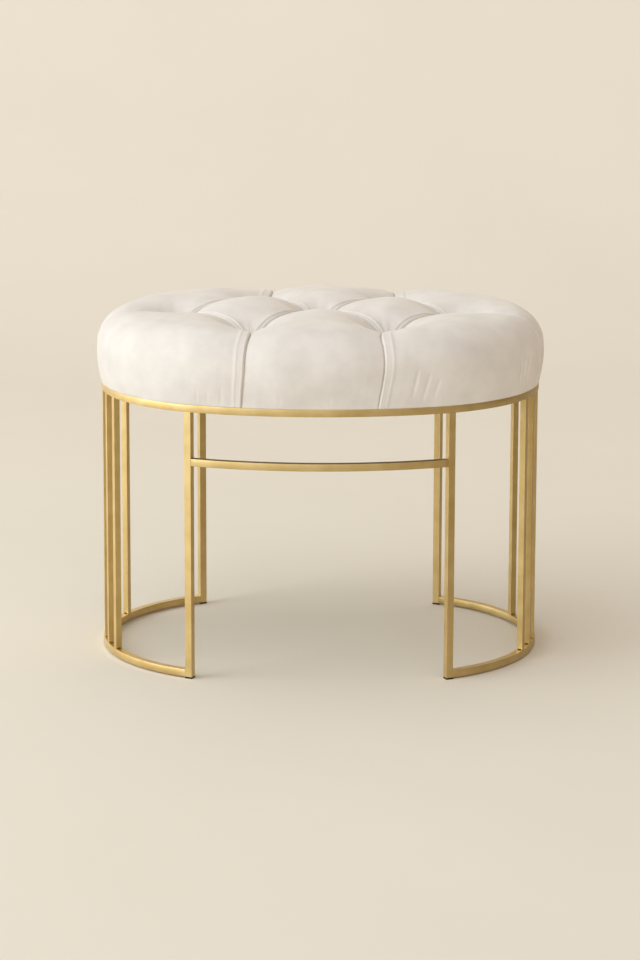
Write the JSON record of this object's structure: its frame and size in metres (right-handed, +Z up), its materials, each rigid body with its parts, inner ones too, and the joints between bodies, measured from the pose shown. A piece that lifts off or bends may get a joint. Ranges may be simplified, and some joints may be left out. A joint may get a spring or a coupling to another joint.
{
  "type": "vanity stool",
  "caption": "Oval button-tufted vanity stool on a satin brass square-tube frame with side uprights, C-shaped bottom rails and a curved front stretcher.",
  "frame": {"origin": "on the floor under the middle of the oval seat", "axes": "+Z up, +X along the long axis of the seat to the sitter's right as seen from the front, -Y towards the front, where the stretcher is"},
  "size_m": [0.5952, 0.4532, 0.4569],
  "materials": {
    "satin_brass": "satin brass plating on welded steel tube",
    "black_nylon": "moulded nylon",
    "zinc_steel": "zinc plated",
    "ivory_velvet": "short-pile ivory velvet",
    "foam": "polyurethane foam",
    "plywood": "raw plywood",
    "dust_sheet": "black non-woven sheet",
    "twine": "waxed tufting twine"
  },
  "bodies": {
    "root": {"seat_ring": "satin_brass", "left_bottom_rail": "satin_brass", "right_bottom_rail": "satin_brass", "front_stretcher": "satin_brass", "leg_front_right": "satin_brass", "leg_front_left": "satin_brass", "leg_back_right": "satin_brass", "leg_back_left": "satin_brass", "glide_front_right": "black_nylon", "glide_front_left": "black_nylon", "glide_back_right": "black_nylon", "glide_back_left": "black_nylon", "left_upright_1": "satin_brass", "left_upright_2": "satin_brass", "left_upright_3": "satin_brass", "left_upright_4": "satin_brass", "left_upright_5": "satin_brass", "left_upright_6": "satin_brass", "left_upright_7": "satin_brass", "right_upright_1": "satin_brass", "right_upright_2": "satin_brass", "right_upright_3": "satin_brass", "right_upright_4": "satin_brass", "right_upright_5": "satin_brass", "right_upright_6": "satin_brass", "right_upright_7": "satin_brass", "seat_tab_front_right": "satin_brass", "seat_tab_front_left": "satin_brass", "seat_tab_back_right": "satin_brass", "seat_tab_back_left": "satin_brass", "seat_screws": "zinc_steel", "seat_inserts": "zinc_steel", "dust_cover": "dust_sheet", "seat_board": "plywood", "foam_core": "foam", "seat_cover": "ivory_velvet", "tuft_buttons": "ivory_velvet", "tuft_twines": "twine", "tuft_washers": "zinc_steel"}
  },
  "joints": []
}
